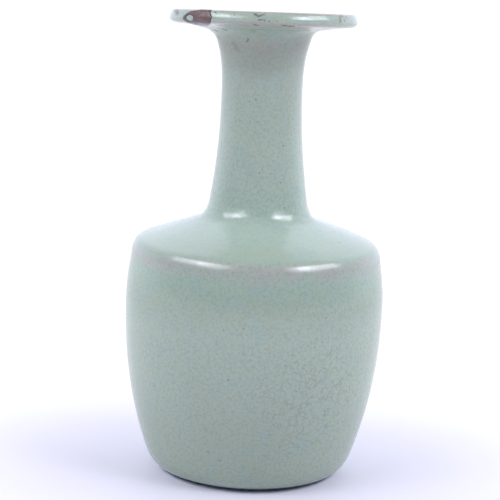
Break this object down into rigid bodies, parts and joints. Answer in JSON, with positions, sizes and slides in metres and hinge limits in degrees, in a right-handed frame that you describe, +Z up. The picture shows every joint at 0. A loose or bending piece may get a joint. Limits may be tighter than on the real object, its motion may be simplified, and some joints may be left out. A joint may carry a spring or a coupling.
{
  "type": "mallet-shaped stoneware bottle",
  "caption": "Tall-necked stoneware bottle with a wide disc mouth, a sloping shoulder and a mallet-shaped belly, glazed in pale blue-green celadon.",
  "frame": {"origin": "centre of the foot ring, on the plane that the bottle stands on", "axes": "+Z up along the bottle's axis of turning; -Y is the side with the filled chip slightly to its left"},
  "size_m": [0.101, 0.101, 0.18],
  "materials": {
    "clay": "unglazed pale grey stoneware, hidden under the glaze",
    "foot_clay": "unglazed stoneware burnt dark reddish brown on the foot ring",
    "celadon": "thick satin-gloss celadon glaze, pale blue-green with fine specks and faint crackle",
    "rim_fill": "old reddish-brown lacquer fill"
  },
  "bodies": {
    "root": {"foot_section": "foot_clay", "belly_section": "clay", "shoulder_section": "clay", "neck_section": "clay", "mouth_section": "clay", "glaze_coat": "celadon", "foot_glaze": "celadon", "rim_repair": "rim_fill"}
  },
  "joints": []
}
